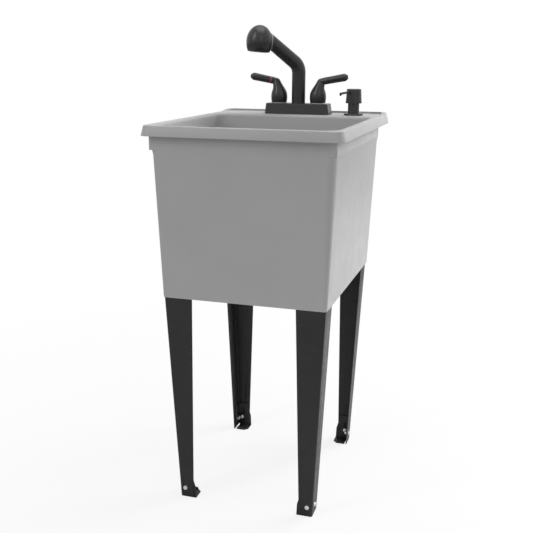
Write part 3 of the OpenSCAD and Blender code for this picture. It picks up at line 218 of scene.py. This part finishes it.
def addRange(tree, value, start, end, low, high):
    # a value from start to end becomes one from low to high
    spread = tree.nodes.new("ShaderNodeMapRange")
    for socket, number in (("From Min", start), ("From Max", end), ("To Min", low), ("To Max", high)):
        spread.inputs[socket].default_value = number
    tree.links.new(value, spread.inputs["Value"])
    return spread.outputs["Result"]


def addBump(tree, height, strength, depth):
    bump = tree.nodes.new("ShaderNodeBump")
    bump.inputs["Strength"].default_value = strength
    bump.inputs["Distance"].default_value = depth * mm
    tree.links.new(height, bump.inputs["Height"])
    return bump


def buildFinish(name, look):
    material = bpy.data.materials.new(name)
    material.use_nodes = True
    tree = material.node_tree
    shader = tree.nodes["Principled BSDF"]
    shader.inputs["Metallic"].default_value = look.get("metal", 0.0)
    shader.inputs["Specular IOR Level"].default_value = look.get("specular", 0.5)
    place = tree.nodes.new("ShaderNodeTexCoord")
    start, end = finishMake["noiseRange"]

    mottle = addNoise(tree, place, look["mottle"], finishMake["mottleDetail"])  # slow change of colour
    tint = tree.nodes.new("ShaderNodeMix")
    tint.data_type = "RGBA"
    tint.inputs["A"].default_value = (*look["shade"], 1.0)
    tint.inputs["B"].default_value = (*look["colour"], 1.0)
    tree.links.new(addRange(tree, mottle, start, end, 0.0, 1.0), tint.inputs["Factor"])
    tree.links.new(tint.outputs["Result"], shader.inputs["Base Color"])

    rubbedScale = look["mottle"] * finishMake["rubbedScale"]                    # shinier patches
    rubbed = addNoise(tree, place, rubbedScale, finishMake["rubbedDetail"])
    tree.links.new(addRange(tree, rubbed, start, end, *look["rough"]), shader.inputs["Roughness"])

    wave = addNoise(tree, place, look["wave"], finishMake["waveDetail"])        # unevenness of the wall
    waveBump = addBump(tree, wave, finishMake["waveStrength"], look["waveDepth"])
    grain = addNoise(tree, place, look["grain"], finishMake["grainDetail"])     # the mould or the coat
    grainBump = addBump(tree, grain, finishMake["grainStrength"], look["grainDepth"])
    tree.links.new(waveBump.outputs["Normal"], grainBump.inputs["Normal"])
    tree.links.new(grainBump.outputs["Normal"], shader.inputs["Normal"])
    return material


finishes = {name: buildFinish(name, look) for name, look in finishSettings.items()}
for nodeName, node in nodes.items():
    node.data.materials.clear()
    node.data.materials.append(finishes[slotOf[nodeName]])
print("finishes: %d" % len(finishes))

# tub: the moulded shell with its outer edges rounded and the band under its rim raised
tubLow, tubHigh = [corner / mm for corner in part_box("tub")]
tubShape = {
    "levels": {"lip": 857.0, "band": 827.0, "foot": tubLow.z},  # heights of their lower edges
    "bandOut": 0.3, "bandIn": (22.5, 22.0), "bandLean": 0.3,    # in: from the rim's outline, x and y
    "rounds": {                                                 # in from the rim's outline, radius
        "lip": ((3.5, 3.5), 1.0), "band": ((19.5, 19.5), 1.2), "foot": ((35.7, 75.5), 1.0)},
    "roundSegments": 3, "sharp": 28, "slack": 0.4, "smooth": 34,
}


def isOnBand(face):
    middle = face.calc_center_median() / mm
    inX, inY = tubShape["bandIn"]
    outside = abs(middle.x) > tubHigh.x - inX or middle.y < tubLow.y + inY
    between = tubShape["levels"]["band"] < middle.z < tubShape["levels"]["lip"]
    return between and abs(face.normal.z) < tubShape["bandLean"] and outside


def raiseBand(piece):
    makeActive(piece)
    bpy.ops.object.mode_set(mode="EDIT")
    bpy.ops.mesh.select_mode(type="FACE")
    mesh = bmesh.from_edit_mesh(piece.data)
    for face in mesh.faces:
        face.select = isOnBand(face)
    bmesh.update_edit_mesh(piece.data)
    count = sum(face.select for face in mesh.faces)
    outwards = {"value": -tubShape["bandOut"] * mm}
    bpy.ops.mesh.extrude_region_shrink_fatten(TRANSFORM_OT_shrink_fatten=outwards)
    bpy.ops.object.mode_set(mode="OBJECT")
    return count


def outerEdgesOf(spot):
    # sharp edges at the spot's height that lie on the outside of the tub
    level = tubShape["levels"][spot]
    inX, inY = tubShape["rounds"][spot][0]

    def isOuter(point):
        outside = abs(point.x) > tubHigh.x - inX or abs(point.y) > tubHigh.y - inY
        return outside and abs(point.z - level) < tubShape["slack"]

    return lambda edge, a, b: isOuter(a) and isOuter(b) and isSharp(edge, tubShape["sharp"])


tub = copyOfNode("tub", "tub_shell")
print("tub: raised %d band faces" % raiseBand(tub))
for spot, (inFromRim, radius) in tubShape["rounds"].items():
    rounded = bevelEdges(tub, outerEdgesOf(spot), radius, tubShape["roundSegments"])
    print("tub: rounded %d edges of the %s" % (rounded, spot))
smoothByAngle(tub, tubShape["smooth"])
attach(tub, "tub")

# legs and feet: folded sheet with slightly softened edges
sheetEdge = {"width": 0.45, "segments": 2, "sharp": 40, "smooth": 40}
for nodeName in [n for n in nodes if slotOf[n] in ("leg_paint", "foot_paint")]:
    sheet = copyOfNode(nodeName, nodeName + "_sheet")
    bevelEdges(sheet, lambda edge, a, b: isSharp(edge, sheetEdge["sharp"]),
               sheetEdge["width"], sheetEdge["segments"])
    smoothByAngle(sheet, sheetEdge["smooth"])
    attach(sheet, nodeName)
print("legs and feet: edges softened")

# handles: bulb, neck and lever raised ring by ring, then blended into one skin with its bores cut
handleShape = {
    "sides": 48, "voxel": 0.75, "soften": 0.6, "softenTimes": 7, "smooth": 40,
    # height, radius, offset towards the lever
    "bulbRings": [(0.0, 18.9, 0.0), (0.5, 19.5, 0.0), (5.0, 20.2, 0.0), (13.0, 20.7, 0.0),
                  (18.5, 20.5, 0.0), (23.5, 19.8, 0.1), (28.5, 18.0, 0.3), (33.5, 15.7, 0.9),
                  (38.5, 13.8, 2.2), (43.5, 12.3, 4.2), (48.0, 10.8, 5.6), (52.0, 9.5, 6.4),
                  (55.5, 8.0, 6.8), (58.4, 5.4, 7.0), (60.0, 2.0, 7.0)],
    # distance along the lever, radius
    "leverRings": [(-5.5, 3.6), (-4.2, 5.6), (-2.0, 7.1), (1.5, 8.2), (10.0, 8.8), (40.0, 9.2),
                   (61.5, 9.6), (63.0, 9.4), (69.6, 5.2), (70.2, 4.2)],
    "elbow": (7.0, 52.0), "leverRise": 10.5,                    # elbow: offset and height
    "bores": [{"radius": 15.2, "top": 16.5}, {"radius": 5.05, "top": 40.8}],  # cartridge, stem
    "boreSides": 64, "overrun": 2.0,
}


def raiseRings(name, rings, start, tilt):
    # rings are (distance, radius, offset): each is extruded from the last and drawn in or out
    deselectAll()
    distance, radius, offset = rings[0]
    bpy.ops.mesh.primitive_circle_add(vertices=handleShape["sides"], radius=radius * mm,
                                      fill_type="NGON", location=(offset * mm, 0, distance * mm))
    stack = bpy.context.object
    stack.name = name
    placeInMesh(stack)
    bpy.ops.object.mode_set(mode="EDIT")
    bpy.ops.mesh.select_all(action="SELECT")
    for last, new in zip(rings, rings[1:]):
        step = ((new[2] - last[2]) * mm, 0, (new[0] - last[0]) * mm)
        bpy.ops.mesh.extrude_region_move(TRANSFORM_OT_translate={"value": step})
        grow = new[1] / last[1]
        centre = (new[2] * mm, 0, new[0] * mm)
        bpy.ops.transform.resize(value=(grow, grow, 1), center_override=centre)
    bpy.ops.object.mode_set(mode="OBJECT")
    turnFacesOutwards(stack)
    stack.rotation_euler = (0, math.radians(tilt), 0)
    stack.location = [c * mm for c in start]
    placeInMesh(stack)
    return stack


def cutBore(piece, radius, low, high, centre):
    deselectAll()
    place = (centre[0] * mm, centre[1] * mm, (low + high) / 2 * mm)
    bpy.ops.mesh.primitive_cylinder_add(vertices=handleShape["boreSides"], radius=radius * mm,
                                        depth=(high - low) * mm, location=place)
    cutter = bpy.context.object
    placeInMesh(cutter)
    cut = piece.modifiers.new("cut", "BOOLEAN")
    cut.operation = "DIFFERENCE"
    cut.object = cutter
    cut.solver = "EXACT"
    applyModifiers(piece)
    bpy.data.objects.remove(cutter)


def buildHandle(hand, side):
    # modelled on the cold side, side is -1 for its mirror image
    shape = handleShape
    pivotX, pivotY, _ = middleOf("cold_stem")
    baseZ = round(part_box("cold_handle")[0].z / mm, 2)
    bulb = raiseRings(hand + "_bulb", shape["bulbRings"], (pivotX, pivotY, baseZ), 0.0)
    elbowX, elbowZ = shape["elbow"]
    leverRings = [(along, radius, 0.0) for along, radius in shape["leverRings"]]
    lever = raiseRings(hand + "_lever", leverRings, (pivotX + elbowX, pivotY, baseZ + elbowZ),
                       90 - shape["leverRise"])
    makeActive(bulb)
    lever.select_set(True)
    bpy.ops.object.join()
    bulb.data.remesh_voxel_size = shape["voxel"] * mm
    bpy.ops.object.voxel_remesh()
    soften = bulb.modifiers.new("soften", "SMOOTH")
    soften.factor = shape["soften"]
    soften.iterations = shape["softenTimes"]
    applyModifiers(bulb)
    if side < 0:
        bulb.scale = (-1, 1, 1)
        placeInMesh(bulb)
        turnFacesOutwards(bulb)
    for bore in shape["bores"]:
        cutBore(bulb, bore["radius"], baseZ - shape["overrun"], baseZ + bore["top"],
                (side * pivotX, pivotY))
    smoothByAngle(bulb, shape["smooth"])
    bulb.name = hand + "_skin"
    attach(bulb, hand)


buildHandle("hot_handle", -1)
buildHandle("cold_handle", 1)
print("handles: blended")

# spray head, spout and pump cap: round walls smoothed up to these angles, edges kept crisp
coverSmooth = {"spray_head": 40, "spout": 40, "soap_head": 34}
for nodeName, degrees in coverSmooth.items():
    cover = copyOfNode(nodeName, nodeName + "_cover")
    smoothByAngle(cover, degrees)
    attach(cover, nodeName)
print("faucet and pump: smoothed")

# studio: the floor glows from nearFloor to farFloor, so far off it melts into the white background
studio = {"floorSize": 40.0, "floorDrop": 0.0005, "floorColour": (0.93, 0.93, 0.93), "floorGlow": 0.84,
          "nearFloor": 0.45, "farFloor": 1.6, "worldLight": 0.26, "mirroredShare": 0.9,
          "lampsAimAt": (0.0, 0.0, 0.6)}
white = (1.0, 1.0, 1.0, 1.0)


def buildFloor():
    deselectAll()
    bpy.ops.mesh.primitive_plane_add(size=studio["floorSize"], location=(0, 0, -studio["floorDrop"]))
    floor = bpy.context.object
    floor.name = "studio_floor"
    placeInMesh(floor)
    material = bpy.data.materials.new("studio_floor")
    material.use_nodes = True
    tree = material.node_tree
    base = tree.nodes["Principled BSDF"]
    base.inputs["Base Color"].default_value = (*studio["floorColour"], 1.0)
    base.inputs["Roughness"].default_value = 1.0
    base.inputs["Specular IOR Level"].default_value = 0.0
    glow = tree.nodes.new("ShaderNodeEmission")
    glow.inputs["Color"].default_value = white
    rays = tree.nodes.new("ShaderNodeLightPath")
    place = tree.nodes.new("ShaderNodeTexCoord")
    away = tree.nodes.new("ShaderNodeVectorMath")               # distance from the sink
    away.operation = "LENGTH"
    tree.links.new(place.outputs["Object"], away.inputs[0])
    fade = addRange(tree, away.outputs["Value"], studio["nearFloor"], studio["farFloor"],
                    studio["floorGlow"], 1.0)
    share = tree.nodes.new("ShaderNodeMath")                    # only the camera sees the glow
    share.operation = "MULTIPLY"
    tree.links.new(rays.outputs["Is Camera Ray"], share.inputs[0])
    tree.links.new(fade, share.inputs[1])
    mix = tree.nodes.new("ShaderNodeMixShader")
    tree.links.new(share.outputs["Value"], mix.inputs["Fac"])
    tree.links.new(base.outputs["BSDF"], mix.inputs[1])
    tree.links.new(glow.outputs["Emission"], mix.inputs[2])
    tree.links.new(mix.outputs["Shader"], tree.nodes["Material Output"].inputs["Surface"])
    floor.data.materials.append(material)


def buildWorld():
    world = bpy.data.worlds.new("studio_world")
    world.use_nodes = True
    bpy.context.scene.world = world
    tree = world.node_tree
    light = tree.nodes["Background"]
    light.inputs["Color"].default_value = white
    light.inputs["Strength"].default_value = studio["worldLight"]
    shown = tree.nodes.new("ShaderNodeBackground")
    shown.inputs["Color"].default_value = white
    rays = tree.nodes.new("ShaderNodeLightPath")
    seen = tree.nodes.new("ShaderNodeMath")
    seen.operation = "MAXIMUM"
    mirrored = tree.nodes.new("ShaderNodeMath")                 # reflections see a dimmer room
    mirrored.operation = "MULTIPLY_ADD"
    mirrored.inputs[1].default_value = studio["mirroredShare"]
    mix = tree.nodes.new("ShaderNodeMixShader")
    tree.links.new(rays.outputs["Is Camera Ray"], seen.inputs[0])
    tree.links.new(rays.outputs["Is Transmission Ray"], seen.inputs[1])
    tree.links.new(rays.outputs["Is Glossy Ray"], mirrored.inputs[0])
    tree.links.new(seen.outputs["Value"], mirrored.inputs[2])
    tree.links.new(mirrored.outputs["Value"], mix.inputs["Fac"])
    tree.links.new(light.outputs["Background"], mix.inputs[1])
    tree.links.new(shown.outputs["Background"], mix.inputs[2])
    tree.links.new(mix.outputs["Shader"], tree.nodes["World Output"].inputs["Surface"])


# lamps: place and size in metres, power in watts; one that isn't mirrored leaves no glare
lamps = {
    "sideSoftbox": {"at": (1.95, 1.8, 1.8), "size": (1.8, 1.8), "power": 72.5, "mirrored": False},
    "topSoftbox": {"at": (0.25, 0.1, 3.2), "size": (2.0, 2.0), "power": 31.0, "mirrored": True},
    "frontKey": {"at": (-2.0, -2.6, 2.9), "size": (0.8, 2.4), "power": 34.0, "mirrored": True},
    "frontStrip": {"at": (1.7, -2.5, 2.2), "size": (0.25, 2.0), "power": 5.0, "mirrored": True},
}


def buildLamps():
    for name, setting in lamps.items():
        data = bpy.data.lights.new(name, "AREA")
        data.shape = "RECTANGLE"
        data.size, data.size_y = setting["size"]
        data.energy = setting["power"]
        lamp = bpy.data.objects.new(name, data)
        bpy.context.scene.collection.objects.link(lamp)
        aim = Vector(studio["lampsAimAt"]) - Vector(setting["at"])
        lamp.location = setting["at"]
        lamp.rotation_euler = aim.to_track_quat("-Z", "Y").to_euler()
        lamp.visible_glossy = setting["mirrored"]


# camera: place in metres, angles in radians, focal length in pixels of the photograph
cameraFit = {"at": (0.5521, -1.8814, 1.0224), "yaw": 0.2963, "pitch": -0.2495, "roll": 0.0059,
             "focalPixels": 827.6, "picturePixels": 533.0, "sensor": 36.0}


def buildCamera():
    yaw, pitch, roll = cameraFit["yaw"], cameraFit["pitch"], cameraFit["roll"]
    level = Vector((-math.sin(yaw), math.cos(yaw), 0.0))
    forward = level * math.cos(pitch) + Vector((0.0, 0.0, math.sin(pitch)))
    right = Vector((math.cos(yaw), math.sin(yaw), 0.0))
    up = right.cross(forward)
    turnedRight = right * math.cos(roll) + up * math.sin(roll)
    turnedUp = up * math.cos(roll) - right * math.sin(roll)
    data = bpy.data.cameras.new("photoCamera")
    data.sensor_width = cameraFit["sensor"]
    data.lens = cameraFit["focalPixels"] * cameraFit["sensor"] / cameraFit["picturePixels"]
    camera = bpy.data.objects.new("photoCamera", data)
    bpy.context.scene.collection.objects.link(camera)
    turn = Matrix((turnedRight, turnedUp, -forward)).transposed()
    camera.matrix_world = Matrix.Translation(Vector(cameraFit["at"])) @ turn.to_4x4()
    bpy.context.scene.camera = camera


buildFloor()
buildWorld()
buildLamps()
buildCamera()
bpy.context.scene.view_settings.view_transform = "Standard"
deselectAll()
print("studio: floor, world, %d lamps and camera" % len(lamps))
